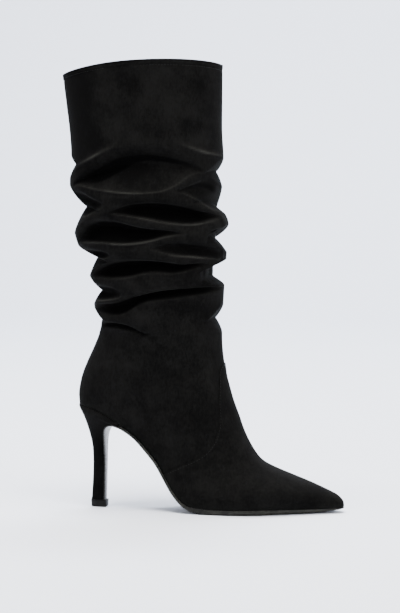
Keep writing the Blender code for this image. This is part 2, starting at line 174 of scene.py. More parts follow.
class Graph:
    def __init__(self, name):
        self.material = bpy.data.materials.new(name)
        self.material.use_nodes = True
        self.tree = self.material.node_tree
        self.tree.nodes.clear()

    def node(self, kind, settings, sockets, output=0):
        made = self.tree.nodes.new(kind)
        for key, value in settings.items():
            setattr(made, key, value)
        for key, value in sockets.items():
            if isinstance(value, Wire):
                self.tree.links.new(value.socket, made.inputs[key])
            else:
                made.inputs[key].default_value = value
        return Wire(self, made.outputs[output])

    def mark(self, name):
        return self.node("ShaderNodeAttribute", {"attribute_name": name}, {}, "Fac")

    def place(self, stretch=(1.0, 1.0, 1.0)):
        here = self.node("ShaderNodeTexCoord", {}, {}, "Object")
        return self.node("ShaderNodeMapping", {}, {"Vector": here, "Scale": stretch})

    def noise(self, where, scale, detail=3.0, roughness=0.55, distortion=0.0):
        return self.node("ShaderNodeTexNoise", {}, {
            "Vector": where, "Scale": scale, "Detail": detail, "Roughness": roughness,
            "Distortion": distortion})

    def between(self, value, limits):
        low, high = limits
        return self.node("ShaderNodeMapRange", {"interpolation_type": "SMOOTHSTEP"}, {
            "Value": value, "From Min": low, "From Max": high})

    def blendColour(self, share, dark, light):
        return self.node("ShaderNodeMix", {"data_type": "RGBA"}, {0: share, 6: dark, 7: light}, 2)

    def toned(self, share, look):
        return self.blendColour(share, look["dark"], look["light"])

    def bump(self, height, strength, distance, under=None):
        sockets = {"Height": height, "Strength": strength, "Distance": distance * mm}
        if under is not None:
            sockets["Normal"] = under
        return self.node("ShaderNodeBump", {}, sockets)

    def shader(self, sockets):
        return self.node("ShaderNodeBsdfPrincipled", {}, {
            key.replace("_", " "): value for key, value in sockets.items()})

    def surface(self, shadedShare=None, shadedSurface=None, **sockets):
        # the first share is where the second surface, a dark matte one that paints shade, takes the place
        # of the plain one
        shader = self.shader(sockets)
        if shadedShare is not None:
            shader = self.node("ShaderNodeMixShader", {}, {0: shadedShare, 1: shader, 2: self.shader(shadedSurface)})
        output = self.tree.nodes.new("ShaderNodeOutputMaterial")
        self.tree.links.new(shader.socket, output.inputs["Surface"])
        return self.material


def shade(level, warm=0.0):
    return (level * (1.0 + warm), level * (1.0 + warm * 0.9), level * (1.0 - warm), 1.0)


# Suede: a cloudy nap stroked down the leather, over short fibres
suedeLook = {
    "dark": shade(0.0012, 0.03),
    "light": shade(0.0046, 0.05),
    # the lips' lighter colour, partly worn by rubbing and partly a painted highlight
    "wearAndHighlight": shade(0.020, 0.07),
    # deep is the painted shade colour inside the folds
    "deep": shade(0.0013, 0.0),
    "sheen": 0.007,
    "sheenRough": 0.5,
    "sheenTint": (1.0, 0.96, 0.92, 1.0),
    "cloudScale": 26.0,
    "cloudPart": 0.32,
    "strokeScale": 95.0,
    "strokePart": 0.20,
    "napScale": 630.0,
    "napPart": 0.32,
    "napHeight": 0.35,
    "fibreScale": 1500.0,
    "fibrePart": 0.16,
    "fibreHeight": 0.16,
    "duskDepth": 0.15,
    "toneLimits": (0.38, 0.62),
    "rubScale": 70.0,
    "rubLimits": (0.34, 0.62),
}


def suedeMaterial(name, look):
    graph = Graph(name)
    here = graph.place()
    cloud = graph.noise(here, look["cloudScale"], 3.0, 0.6, 0.6)
    stroke = graph.noise(graph.place((1.0, 1.0, 0.7)), look["strokeScale"], 4.0, 0.62, 0.4)
    fibre = graph.noise(here, look["fibreScale"], 3.0, 0.7)
    nap = graph.noise(graph.place((1.0, 1.0, 0.5)), look["napScale"], 3.0, 0.65)
    tone = cloud * look["cloudPart"] + stroke * look["strokePart"]
    tone = tone + nap * look["napPart"] + fibre * look["fibrePart"]
    # the dusk mark darkens the tone: on the upper partly the cloudy nap, partly painted shade, and
    # painted highlight where it is negative; on the heel it darkens the suede below the top rim
    tone = tone - graph.mark("dusk") * look["duskDepth"]
    plain = graph.toned(graph.between(tone, look["toneLimits"]), look)
    # the lips of the folds are painted lighter, partly worn by rubbing and partly as painted highlight,
    # and the folds get painted shade inside them
    patchy = graph.between(graph.noise(here, look["rubScale"], 2.0), look["rubLimits"])
    # the lip mark paints the lips lighter in patches: partly worn by rubbing, partly painted highlight
    rub = graph.mark("lip") * (0.25 + patchy * 0.55 + nap * 0.3)
    colour = graph.blendColour(rub, plain, look["wearAndHighlight"])
    low = graph.bump(nap * 0.6 + stroke * 0.4, 0.5, look["napHeight"])
    fine = graph.bump(fibre, 0.7, look["fibreHeight"], low)
    rough = 0.88 + graph.between(fibre, (0.3, 0.7)) * 0.10
    # inside the folds a painted shade: a near-black matte surface without reflection, mixed in by the
    # mark
    shadedSurface = {"Base Color": look["deep"], "Roughness": 1.0, "Specular IOR Level": 0.0}
    return graph.surface(
        graph.mark("hollowShade"), shadedSurface,
        Base_Color=colour, Roughness=rough, Normal=fine, Specular_IOR_Level=0.03,
        Sheen_Weight=look["sheen"], Sheen_Roughness=look["sheenRough"], Sheen_Tint=look["sheenTint"])


liningLook = {"dark": shade(0.012, 0.02), "light": shade(0.022, 0.05), "limits": (0.35, 0.65),
              "wideScale": 40.0, "grainScale": 900.0, "grainHeight": 0.2}


def liningMaterial(name, look):
    graph = Graph(name)
    here = graph.place()
    grain = graph.node("ShaderNodeTexVoronoi", {}, {"Vector": here, "Scale": look["grainScale"]})
    wide = graph.noise(here, look["wideScale"])
    colour = graph.toned(graph.between(wide, look["limits"]), look)
    normal = graph.bump(grain * 0.6 + wide * 0.4, 0.35, look["grainHeight"])
    return graph.surface(Base_Color=colour, Roughness=0.5 + wide * 0.15, Normal=normal)


soleLook = {"dark": shade(0.014, 0.03), "light": shade(0.028, 0.04), "limits": (0.38, 0.62),
            "wideScale": 35.0, "grainScale": 900.0, "grainHeight": 0.08, "scuffScale": 260.0,
            "specular": 0.14, "coat": 0.03}
edgeLook = dict(soleLook, dark=shade(0.008, 0.06), light=shade(0.022, 0.08), scuffScale=420.0,
                specular=0.08, coat=0.0)


def soleMaterial(name, look):
    graph = Graph(name)
    wide = graph.noise(graph.place(), look["wideScale"], 3.0)
    grain = graph.noise(graph.place((0.3, 1.0, 1.0)), look["grainScale"], 4.0, 0.65)
    scuff = graph.noise(graph.place((0.25, 1.0, 1.0)), look["scuffScale"], 4.0, 0.7, 0.5)
    colour = graph.toned(graph.between(wide * 0.55 + scuff * 0.45, look["limits"]), look)
    rough = 0.24 + graph.between(scuff, (0.45, 0.7)) * 0.22
    normal = graph.bump(grain * 0.6 + scuff * 0.4, 0.3, look["grainHeight"])
    return graph.surface(
        Base_Color=colour, Roughness=rough, Normal=normal, Specular_IOR_Level=look["specular"],
        Coat_Weight=look["coat"], Coat_Roughness=0.22)


rubberLook = {"dark": shade(0.003, 0.05), "light": shade(0.006, 0.06), "limits": (0.35, 0.65),
              "wideScale": 240.0, "grainScale": 2600.0, "grainHeight": 0.06, "rubScale": 420.0}


def rubberMaterial(name, look):
    graph = Graph(name)
    here = graph.place()
    wide = graph.noise(here, look["wideScale"], 3.0)
    grain = graph.noise(here, look["grainScale"], 3.0, 0.6)
    rub = graph.noise(graph.place((1.0, 1.0, 4.0)), look["rubScale"], 4.0, 0.7)
    colour = graph.toned(graph.between(wide, look["limits"]), look)
    rough = 0.42 + graph.between(rub, (0.4, 0.7)) * 0.18
    normal = graph.bump(grain * 0.5 + rub * 0.5, 0.35, look["grainHeight"])
    return graph.surface(Base_Color=colour, Roughness=rough, Normal=normal, Specular_IOR_Level=0.08)


threadLook = {"dark": shade(0.003, 0.03), "light": shade(0.008, 0.04), "twistScale": 900.0,
              "twistHeight": 0.05, "wideScale": 300.0}


def threadMaterial(name, look):
    graph = Graph(name)
    twist = graph.node("ShaderNodeTexWave", {"bands_direction": "DIAGONAL"}, {
        "Vector": graph.place(), "Scale": look["twistScale"], "Distortion": 1.0})
    wide = graph.noise(graph.place(), look["wideScale"])
    colour = graph.toned(twist * 0.6 + wide * 0.4, look)
    normal = graph.bump(twist, 0.5, look["twistHeight"])
    return graph.surface(
        Base_Color=colour, Roughness=0.6 + wide * 0.1, Normal=normal, Specular_IOR_Level=0.15)


suede = suedeMaterial("suede", suedeLook)
lining = liningMaterial("lining", liningLook)
soleLeather = soleMaterial("soleLeather", soleLook)
soleEdge = soleMaterial("soleEdge", edgeLook)
rubber = rubberMaterial("heelRubber", rubberLook)
thread = threadMaterial("thread", threadLook)
print("materials made")


# The boot's form. Rings of the shaft from the collar down: silhouette points front and back, half
# width, how far the sides rise above the line from front to back, and the number of mesh rows down to
# the next ring.
shaftRings = [
    # frontX frontZ backX backZ half crown rows
    (112.3, 397.6, -32.0, 389.4, 49.0, 6.9, 10),
    (112.3, 389.6, -31.3, 383.4, 49.0, 6.0, 8),
    (112.2, 366.0, -28.9, 364.0, 49.0, 3.0, 10),
    (112.2, 336.0, -25.6, 336.0, 49.0, 0.0, 14),
    (113.3, 318.0, -24.6, 319.0, 49.5, 0.0, 20),
    (113.2, 301.5, -25.3, 308.3, 49.8, 0.0, 18),
    (112.0, 289.0, -26.0, 294.0, 50.0, 0.0, 26),
    (113.6, 268.5, -24.2, 265.8, 50.0, 0.0, 12),
    (117.4, 260.0, -22.0, 249.0, 49.5, 0.0, 26),
    (117.0, 241.0, -12.3, 222.5, 48.0, 0.0, 14),
    (116.2, 230.0, -8.6, 213.5, 46.5, 0.0, 18),
    (115.0, 213.9, -6.0, 192.9, 44.5, 0.0, 16),
    (113.9, 196.0, -4.0, 183.5, 42.5, 0.0, 22),
    (112.6, 169.6, -2.4, 169.4, 38.8, 0.0, 8),
    (112.3, 158.0, 0.8, 160.0, 37.5, 0.0, 4),
    (112.5, 151.0, -5.0, 144.5, 36.0, 0.0, 3),
    (113.0, 144.0, -10.6, 132.6, 35.0, 0.0, 3),
    (114.0, 136.0, -15.9, 118.9, 34.0, 0.0, 3),
    (114.7, 131.0, -18.5, 106.0, 33.6, 0.0, 3),
]
# Open arcs over the foot, each from a point of the instep ridge down to the feather line
footArcs = [
    # frontX frontZ backX backZ lateral medial edgeLateral edgeMedial belly ridge rows
    (115.3, 126.5, -4.0, 91.3, 33.5, 33.5, 20.0, 20.0, 0.50, 0.0, 2),
    (116.4, 119.5, 5.0, 88.0, 33.5, 33.5, 23.6, 23.1, 0.50, 0.0, 2),
    (118.0, 113.5, 16.0, 82.6, 33.0, 33.0, 25.0, 24.0, 0.48, 0.0, 2),
    (119.8, 107.0, 27.0, 74.6, 32.5, 32.5, 25.4, 23.3, 0.46, 0.0, 2),
    (122.0, 99.5, 38.0, 66.8, 32.0, 31.5, 25.7, 21.7, 0.44, 0.0, 2),
    (124.9, 91.5, 49.0, 55.2, 31.5, 30.5, 26.0, 19.6, 0.42, 0.0, 2),
    (127.9, 83.5, 58.6, 43.5, 31.5, 29.8, 27.3, 19.3, 0.40, 0.0, 2),
    (130.6, 75.5, 66.4, 30.5, 32.3, 29.5, 28.8, 19.3, 0.38, 0.0, 2),
    (133.9, 67.5, 74.7, 17.5, 34.0, 30.0, 30.4, 20.5, 0.36, 0.0, 2),
    (138.0, 59.3, 84.0, 8.5, 36.5, 31.5, 32.5, 23.0, 0.33, 0.5, 2),
    (143.5, 50.3, 95.0, 6.0, 38.8, 34.5, 34.8, 27.0, 0.30, 1.0, 3),
    (150.6, 43.3, 113.0, 5.1, 40.5, 37.6, 37.2, 32.5, 0.28, 1.5, 3),
    (160.2, 38.3, 129.0, 4.9, 40.3, 39.5, 37.0, 35.4, 0.27, 2.0, 3),
    (171.3, 33.7, 147.0, 5.0, 36.6, 39.0, 33.0, 35.3, 0.27, 2.5, 3),
    (182.3, 29.4, 165.0, 4.9, 29.8, 34.6, 26.3, 31.0, 0.28, 3.0, 3),
    (192.3, 25.6, 181.0, 4.7, 22.8, 28.8, 19.6, 25.3, 0.30, 3.0, 3),
    (201.3, 21.8, 194.5, 4.6, 16.5, 22.4, 13.7, 19.2, 0.32, 3.0, 2),
    (209.2, 18.4, 205.0, 4.5, 11.5, 17.0, 9.3, 14.3, 0.35, 2.8, 2),
    (215.4, 15.3, 213.0, 4.6, 7.5, 12.2, 5.8, 10.2, 0.40, 2.5, 2),
    (219.3, 12.0, 218.3, 4.8, 4.0, 8.2, 2.9, 7.0, 0.45, 2.2, 1),
    (221.0, 9.5, 220.8, 5.2, 0.9, 5.0, 0.4, 4.5, 0.50, 2.1, 1),
    (221.6, 7.9, 221.6, 5.9, -2.0, 2.0, -2.0, 2.0, 0.50, 2.0, 0),
]
edgeShare = 0.75         # share of the half turn at which the sides reach the feather edge
edgeLimit = edgeShare + 1e-6
crownBend = {"front": 1.2, "back": 2.0}
seat = {"centreX": 3.3, "radius": 21.3, "start": radians(110)}
featherLine = [(seat["centreX"] - seat["radius"], 94.4)] + [(arc[2], arc[3]) for arc in footArcs]
cornerRow = len(shaftRings)
lastRow = cornerRow + len(footArcs) - 1


def featherHeight(x):
    return smoothThrough(featherLine, x)


def ringPoint(ring, around):
    # around runs from -1 at the back over the inner side, 0 in front, to 1 over the outer side
    frontX, frontZ, backX, backZ, half, crown = ring[:6]
    turn = pi * around
    share = (1.0 + cos(turn)) / 2.0
    bend = crownBend["front" if abs(around) < 0.5 else "back"]
    height = mix(backZ, frontZ, share) + crown * abs(sin(turn)) ** bend
    return Vector((mix(backX, frontX, share), -half * sin(turn), height))


def arcPoint(arc, around):
    frontX, frontZ, backX, backZ, lateral, medial, edgeLateral, edgeMedial, belly, ridge = arc[:10]
    side = 1.0 if around < 0.0 else -1.0
    wide = lateral if side < 0.0 else medial
    edge = edgeLateral if side < 0.0 else edgeMedial
    reach = wide - side * ridge
    ratio = (edge - side * ridge) / reach if reach > 0.0 else 0.0
    turn = (pi - asin(ratio)) * min(abs(around) / edgeShare, 1.0)
    height = belly + cos(turn) * (1.0 - belly)
    if turn > pi / 2.0:
        height = belly + cos(turn) * belly / sqrt(1.0 - ratio * ratio)
    return Vector((mix(backX, frontX, height), ridge + side * reach * sin(turn),
                   mix(backZ, frontZ, height)))


def seatPoint(around):
    share = (abs(around) - edgeShare) / (1.0 - edgeShare)
    turn = mix(seat["start"], pi, share)
    x = seat["centreX"] + seat["radius"] * cos(turn)
    side = 1.0 if around < 0.0 else -1.0
    return Vector((x, side * seat["radius"] * sin(turn), featherHeight(x)))


@cache
def rowPoint(row, around):
    if row < cornerRow:
        return ringPoint(shaftRings[row], around)
    if abs(around) <= edgeLimit:
        return arcPoint(footArcs[row - cornerRow], around)
    return seatPoint(around)


def rowSteps():
    # how far each row of the tables lies from the next, half way between front and back
    ends = [row[:4] for row in shaftRings + footArcs]
    steps = []
    for (x0, z0, u0, w0), (x1, z1, u1, w1) in zip(ends, ends[1:]):
        front = sqrt((x1 - x0) ** 2 + (z1 - z0) ** 2)
        back = sqrt((u1 - u0) ** 2 + (w1 - w0) ** 2)
        steps.append((front + back) / 2.0)
    return steps


steps = rowSteps()


def smoothForm(row, around):
    # a point of the unfolded form, smooth between the rows of the tables
    end = lastRow if abs(around) <= edgeLimit else cornerRow
    index = min(int(row), end - 1)
    start = rowPoint(index, around)
    stop = rowPoint(index + 1, around)
    step = steps[index]
    plain = (stop - start) / step
    startSlope = plain
    stopSlope = plain
    # the sides end at the feather edge on the corner row, so only the front runs on smoothly there
    run = 1.0 - min(abs(around) / edgeShare, 1.0) ** 2
    if index > 0:
        startSlope = slope(rowPoint(index - 1, around), start, stop, steps[index - 1], step)
        if index == cornerRow:
            startSlope = mix(plain, startSlope, run)
    if index + 2 <= end:
        stopSlope = slope(start, stop, rowPoint(index + 2, around), step, steps[index + 1])
        if index + 1 == cornerRow:
            stopSlope = mix(plain, stopSlope, run)
    return hermite(start, startSlope, stop, stopSlope, step, row - index)


# Rolls at the front and back, between lens-shaped notches. angle is the notch's middle (0 front, 90
# outer side, 180 back, -90 inner side) and half its half width in degrees, bed its height, level how
# much of its height is bed, tilt how much higher its far end lies, over and under how far it opens
# above and below the bed, and deep how far it sinks.
notches = [
    # angle half bed level tilt over under deep
    (180, 36, 308.5, 0, 0, 11, 12, 5.5),
    (180, 60, 267.8, 1, 0, 24, 20, 14.0),
    (180, 56, 223.4, 1, 0, 14, 13, 12.5),
    (180, 58, 194.1, 0, 0, 16, 10, 10.0),
    (180, 42, 169.7, 0, 0, 13, 11, 6.5),
    (0, 34, 301.5, 1, 0, 14, 12, 7.0),
    (6, 40, 272.2, 0, 8, 22, 6, 9.5),
    (-3, 40, 243.8, 3, 3, 11, 11, 15.5),
    (0, 44, 211.0, 10.5, -3, 9, 4.5, 14.5),
    (0, 34, 171.2, 0, 0, 14, 12, 8.0),
]
# Pockets between the rolls on both sides, each from the edge of the roll above it, past the end of the
# dark inside it, down to the lip that catches the light. light is how much lighter the lip is painted,
# partly worn by rubbing and partly a painted highlight; black is how dark the painted shade inside the
# pocket is, and soft how far a fainter painted shade reaches above it. Places are (angle, z).
pockets = [
    # deep lift light black soft, then the places of the edge, of the dark's end and of the lip
    (9.5, 1.3, 0.75, 0.97, 13,
     ((36, 303.5), (44, 307.9), (68, 314.8), (85, 316.2), (106, 313.2), (123, 304.5), (144, 295.8),
      (152, 292)),
     ((36, 303), (44, 304.5), (68, 308), (90, 307.5), (103, 300), (118, 292.7), (138, 292), (152, 291)),
     ((36, 302.5), (47, 300.1), (59, 291.3), (69, 286.1), (80, 284.3), (99, 284.3), (119, 287),
      (144, 291), (152, 290))),
    (9.5, 0.9, 0.65, 1.0, 2,
     ((19, 262.5), (24, 264.2), (42, 267.6), (59, 271.2), (78, 273.4), (92, 272.9), (104, 270.3),
      (112, 267)), None,
     ((19, 261.5), (30, 259.6), (52, 256.3), (71, 258.1), (84, 261.2), (98, 264), (112, 266))),
    (9.5, 1.2, 0.95, 0.93, 2,
     ((60, 249), (68, 250.2), (90, 252), (113, 257.1), (127, 256.9), (152, 245.9), (160, 241)), None,
     ((60, 248), (72, 245.9), (87, 241.5), (103, 239.2), (126, 240.2), (148, 240), (160, 239))),
    (6.0, 1.0, 0.85, 0.5, 4,
     ((15, 232), (22, 233.8), (52, 237.9), (74, 238.9), (84, 236)), None,
     ((15, 228), (20, 225.6), (29, 226.1), (53, 228.2), (71, 230.1), (84, 235))),
    (8.5, 0.5, 0.25, 1.0, 2,
     ((34, 221.5), (43, 221.9), (62, 220.4), (82, 222.7), (102, 223), (122, 220.8), (147, 214),
      (158, 210)), None,
     ((34, 220.5), (43, 219), (67, 213.6), (91, 213.6), (109, 209.5), (128, 208.5), (148, 209),
      (158, 208))),
    (7.5, 0.4, 0.15, 1.0, 3,
     ((10, 199), (16, 199.9), (53, 199.2), (80, 196.7), (102, 192.1), (123, 186.2), (150, 183.4),
      (160, 180)), None,
     ((10, 198), (23, 196.5), (53, 193), (76, 190.2), (98, 186), (113, 177.6), (147, 177), (160, 178))),
    (3.6, 0.6, 0.1, 0.8, 1,
     ((82, 154.5), (90, 157.4), (101, 160.8), (110, 165.1), (127, 168.2), (146, 167.4), (156, 165)), None,
     ((82, 153.5), (90, 154.6), (110, 161), (127, 163.8), (146, 163.5), (156, 163))),
    (5.0, 0.8, 0.9, 0.55, 2,
     ((116, 273.5), (119, 275.5), (127, 278.1), (137, 281.6), (160, 284)), None,
     ((116, 272), (119, 270.2), (127, 266.6), (137, 263), (160, 262))),
    (4.0, 0.7, 0.8, 0.7, 1,
     ((120, 229), (124, 231.2), (134, 232.2), (160, 233)), None,
     ((120, 228.2), (125, 226.6), (134, 225), (160, 224))),
    (4.0, 0.7, 0.9, 0.7, 1,
     ((115, 195.6), (118, 197.4), (124, 199.2), (134, 200), (162, 201)), None,
     ((115, 194), (118, 191.8), (124, 190.5), (134, 189.2), (162, 188))),
    (2.5, 0.6, 0.8, 0.8, 1,
     ((8, 252), (24, 252), (32, 250.5), (36, 249)), None,
     ((8, 246), (24, 246.8), (32, 248), (36, 248.2))),
    (5.5, 1.0, 0.6, 0.6, 2,
     ((6, 283), (18, 289.5), (34, 292.2), (46, 290), (58, 286)),
     ((6, 280), (18, 284), (34, 287), (46, 286), (58, 285.5)),
     ((6, 268), (24, 269.3), (41, 278.1), (54, 284.3), (58, 285))),
    (9.0, 1.0, 0.75, 0.97, 12,
     ((-152, 290), (-130, 298), (-105, 306), (-78, 309), (-52, 311), (-40, 308)),
     ((-152, 289), (-130, 291), (-105, 299), (-78, 303), (-52, 305), (-40, 307)),
     ((-152, 288), (-125, 283), (-98, 279), (-70, 283), (-52, 296), (-40, 306))),
    (8.5, 0.9, 0.65, 1.0, 2,
     ((-114, 262), (-95, 267), (-75, 270), (-50, 269), (-24, 264), (-14, 262)), None,
     ((-114, 261), (-92, 256), (-70, 253), (-46, 255), (-26, 259), (-14, 261))),
    (9.0, 1.1, 0.9, 0.95, 2,
     ((-160, 244), (-140, 252), (-118, 255), (-92, 252), (-76, 249), (-64, 247)), None,
     ((-160, 242), (-138, 239), (-112, 237), (-90, 240), (-74, 244), (-64, 246))),
    (6.0, 0.9, 0.8, 0.5, 4,
     ((-86, 236), (-70, 239), (-46, 237), (-18, 233), (-10, 232)), None,
     ((-86, 235), (-68, 229), (-44, 226), (-18, 225.5), (-10, 226))),
    (8.0, 0.5, 0.25, 1.0, 2,
     ((-158, 212), (-140, 217), (-112, 221), (-84, 219), (-56, 217), (-38, 219)), None,
     ((-158, 210), (-138, 208), (-112, 207), (-84, 209), (-56, 211), (-38, 218))),
    (7.0, 0.4, 0.2, 1.0, 3,
     ((-156, 186), (-126, 193), (-98, 197), (-70, 196), (-40, 194), (-10, 193)), None,
     ((-156, 184), (-126, 183), (-98, 186), (-70, 188), (-40, 188), (-10, 191))),
    (3.6, 0.6, 0.1, 0.7, 1,
     ((-154, 167), (-128, 170), (-106, 166), (-88, 160)), None,
     ((-154, 165), (-128, 165), (-106, 161), (-88, 158))),
]
# Small creases and ridges on the rolls, as soft lines through places on the shaft. wide is the half width
# of the line, deep how far it sinks, and a negative depth raises a ridge. light is how much lighter its
# ridge is painted, partly worn by rubbing and partly as painted highlight.
creases = [
    # wide deep light then places (angle, z)
    (2.6, -1.6, 0.9, ((100, 326), (112, 322.8), (126, 315.9), (143, 308.6), (152, 304))),
    (2.2, -1.7, 1.0, ((2, 313.5), (10, 316.1), (39, 321.1), (54, 326.2), (66, 331))),
    (1.6, 0.8, 0.0, ((88, 260), (98, 261.5), (110, 262.5), (124, 260))),
    (2.4, -0.7, 0.0, ((92, 208), (110, 207), (126, 208), (138, 211))),
    (2.0, -0.8, 0.25, ((20, 202.5), (30, 204), (38, 207.5), (43, 212))),
    (1.6, 0.5, 0.0, ((62, 281), (78, 279.5), (100, 278), (112, 276))),
]
foldLook = {"roundIn": 1.2, "roundOut": 0.88, "meet": 3.0, "overhang": 0.34, "lens": 0.7,
            "bedShare": 0.30, "early": 0.42, "slopeIn": 1.25, "slopeOut": 1.1, "endSoft": 0.75,
            "least": 0.8, "darkEnd": 0.5, "darkAbove": 0.6, "darkFade": 1.6, "darkOpen": 1.4,
            "shadeDark": 0.6, "shadeFade": 1.4, "lipHalf": 1.8, "lipLight": 0.68, "roll": 2.2,
            "reach": 3.0, "creaseEnds": 0.7, "creaseRub": 4.0, "lowest": 120.0}


def notchDepth(angle, z):
    total = 0.0
    for middle, half, bed, level, tilt, over, under, deep in notches:
        across = ((angle - middle + 180.0) % 360.0 - 180.0) / half
        if abs(across) >= 1.0:
            continue
        lens = cos(across * pi / 2.0)
        above = z - bed - tilt * across / 2.0
        away = max(abs(above) - level / 2.0, 0.0)
        reach = 1.0 - away / (lens * (over if above > 0.0 else under))
        if reach > 0.0:
            sunk = 1.0 - (1.0 - reach ** foldLook["roundIn"]) ** foldLook["roundOut"]
            total += (deep * lens ** foldLook["lens"] * sunk) ** foldLook["meet"]
    return total


@cache
def pocketsAt(angle):
    # the pockets that cross this angle: edge, end of the painted shade, lip and how open each is here,
    # then the first five values of its row
    found = []
    for pocket in pockets:
        edge, darkEnd, lips = pocket[5:]
        first = edge[0][0]
        last = edge[-1][0]
        if first < angle < last:
            opening = sin(pi * (angle - first) / (last - first)) ** foldLook["endSoft"]
            top = smoothThrough(edge, angle)
            lip = min(smoothThrough(lips, angle), top - foldLook["least"])
            dark = smoothThrough(darkEnd, angle) if darkEnd else lip + foldLook["darkEnd"]
            found.append((top, dark, lip, opening) + pocket[:5])
    return sorted(found, key=lambda item: -item[0])


def foldShape(angle, z):
    # how far the folds draw the shaft in here, how far its lips stand out, and the marks painted on the
    # nap:
    # painted shade in the pockets, and lips painted lighter, partly by rubbing and partly as painted
    # highlight
    total = notchDepth(angle, z)
    lift = 0.0
    hollowShade = 0.0
    light = 0.0
    here = pocketsAt(angle)
    for above, below in zip(here, here[1:]):
        # the roll between two pockets is round
        share = (above[2] - z) / max(above[2] - below[0], 1.0)
        if 0.0 < share < 1.0:
            lift += foldLook["roll"] * sqrt(above[3] * below[3]) * sin(pi * share)
    for top, dark, lip, opening, deep, proud, wearAndHighlight, black, soft in here:
        tall = top - lip
        # places are where the folds show, so the drawn up bed is looked for lower down
        down = (top - z) / tall
        if -foldLook["early"] < down < 1.0:
            bed = foldLook["bedShare"]
            if down < bed:
                share = (down + foldLook["early"]) / (bed + foldLook["early"])
                sunk = share * share * (3.0 - 2.0 * share)
                sunk = sunk ** foldLook["slopeIn"]
            else:
                sunk = (1.0 - (down - bed) / (1.0 - bed)) ** foldLook["slopeOut"]
            total += (deep * opening * sunk) ** foldLook["meet"]
        away = (z - lip) / foldLook["lipHalf"]
        if abs(away) < foldLook["reach"]:
            lift += proud * opening * exp(-away * away)
            # the lip is painted lighter: partly worn by rubbing, partly painted highlight
            close = exp(-((z - lip) / foldLook["lipLight"]) ** 2)
            light = max(light, wearAndHighlight * opening * close)
        # inside the pocket a painted shade, and a fainter painted shade reaching up above its edge
        fade = foldLook["darkFade"]
        inside = min((top + foldLook["darkAbove"] - z) / fade, (z - dark) / fade, 1.0)
        if inside > 0.0:
            hollowShade = max(hollowShade, black * inside * min(opening * foldLook["darkOpen"], 1.0))
        shaded = 1.0 - (z - top) / soft
        if 0.0 < shaded < 1.0:
            near = foldLook["shadeDark"] * shaded ** foldLook["shadeFade"]
            hollowShade = max(hollowShade, black * opening * near)
    return total ** (1.0 / foldLook["meet"]), lift, hollowShade, light


def creaseShape(angle, z):
    # how far the creases sink here, and how much lighter their ridges are painted, partly by rubbing and
    # partly as painted highlight
    total = 0.0
    wearAndHighlight = 0.0
    for wide, deep, light, places in creases:
        if not places[0][0] < angle < places[-1][0]:
            continue
        share = (angle - places[0][0]) / (places[-1][0] - places[0][0])
        away = (z - smoothThrough(places, angle)) / wide
        if abs(away) < foldLook["reach"]:
            near = sin(pi * share) ** foldLook["creaseEnds"] * exp(-away * away)
            total += deep * near
            wearAndHighlight = max(wearAndHighlight, light * near ** foldLook["creaseRub"])
    return total, wearAndHighlight


# Patches where the suede is painted darker, or lighter when strength is negative: partly the cloudy nap,
# partly painted shade on the back side and along the folds, and painted highlight on the rolls
napAndShadePatches = [
    # angle z halfAngle halfHeight strength
    (137, 381, 13, 14, 0.8), (137, 360, 11, 16, 0.5), (132, 332, 14, 10, 1.0), (147, 327, 9, 8, 0.9),
    (158, 352, 28, 60, 1.4), (94, 299, 26, 10, 0.7), (87, 380, 12, 8, 0.35),
    (37, 380, 13, 8, 0.5), (46, 340, 12, 9, 0.5),
    (94, 300, 11, 6, 0.8), (104, 303, 9, 5, 0.5), (65, 183, 14, 8, 0.5), (38, 181, 12, 8, 0.5),
    (107, 265, 12, 3.5, 0.5), (59, 237, 16, 4, 0.4), (97, 277, 16, 3, 0.6),
    (113, 372, 12, 10, -0.5), (108, 340, 11, 9, -0.5), (37, 332, 11, 8, -0.6), (84, 330, 14, 7, -0.45),
    (64, 298, 14, 6, -0.4), (66, 363, 20, 12, -0.3), (96, 175, 12, 7, -0.9), (74, 197, 17, 4, -0.6),
    (49, 247, 12, 4, -0.3), (-120, 370, 25, 16, 0.6), (-60, 350, 22, 14, -0.4), (-95, 335, 18, 9, 0.5),
    (-70, 180, 22, 10, 0.4), (-110, 172, 16, 8, -0.5),
]


def napAndShadeTone(angle, z):
    total = 0.0
    for middle, high, halfAngle, halfHeight, strength in napAndShadePatches:
        across = (angle - middle) / halfAngle
        up = (z - high) / halfHeight
        if across * across + up * up < foldLook["reach"] ** 2:
            total += strength * exp(-across * across - up * up)
    return total


hem = {"height": 4.8, "proud": 0.30, "groove": 0.35, "grooveHalf": 0.9}


def hemLift(around, point):
    # the folded hem stands a little proud below the topline, down to its stitched line
    top = smoothForm(0, around).z
    below = top - point.z
    if below > 3.0 * hem["height"]:
        return 0.0
    line = exp(-((below - hem["height"]) / hem["grooveHalf"]) ** 2)
    return (hem["proud"] if below < hem["height"] else 0.0) - hem["groove"] * line


def outside(row, around):
    # a point of the upper's outside, with its folds
    point = smoothForm(row, around)
    if row >= cornerRow or point.z < foldLook["lowest"]:
        return point
    ring = shaftRings[int(row)]
    turn = pi * around
    longRadius = (ring[0] - ring[2]) / 2.0
    out = Vector((cos(turn) / longRadius, -sin(turn) / ring[4], 0.0)).normalized()
    angle = 180.0 * around
    deep, lift = foldShape(angle, point.z)[:2]
    inward = deep - lift + creaseShape(angle, point.z)[0] - hemLift(around, point)
    return point + Vector((0.0, 0.0, deep * foldLook["overhang"])) - out * inward


def fineRows(table, first):
    # mesh rows between the rows of a table, as places along the form
    places = []
    for index, row in enumerate(table):
        count = row[-1]
        places += [first + index + step / count for step in range(count)]
    return places


upperLook = {"columns": 160, "wall": 1.6}
meshRows = fineRows(shaftRings, 0) + fineRows(footArcs, cornerRow) + [lastRow]


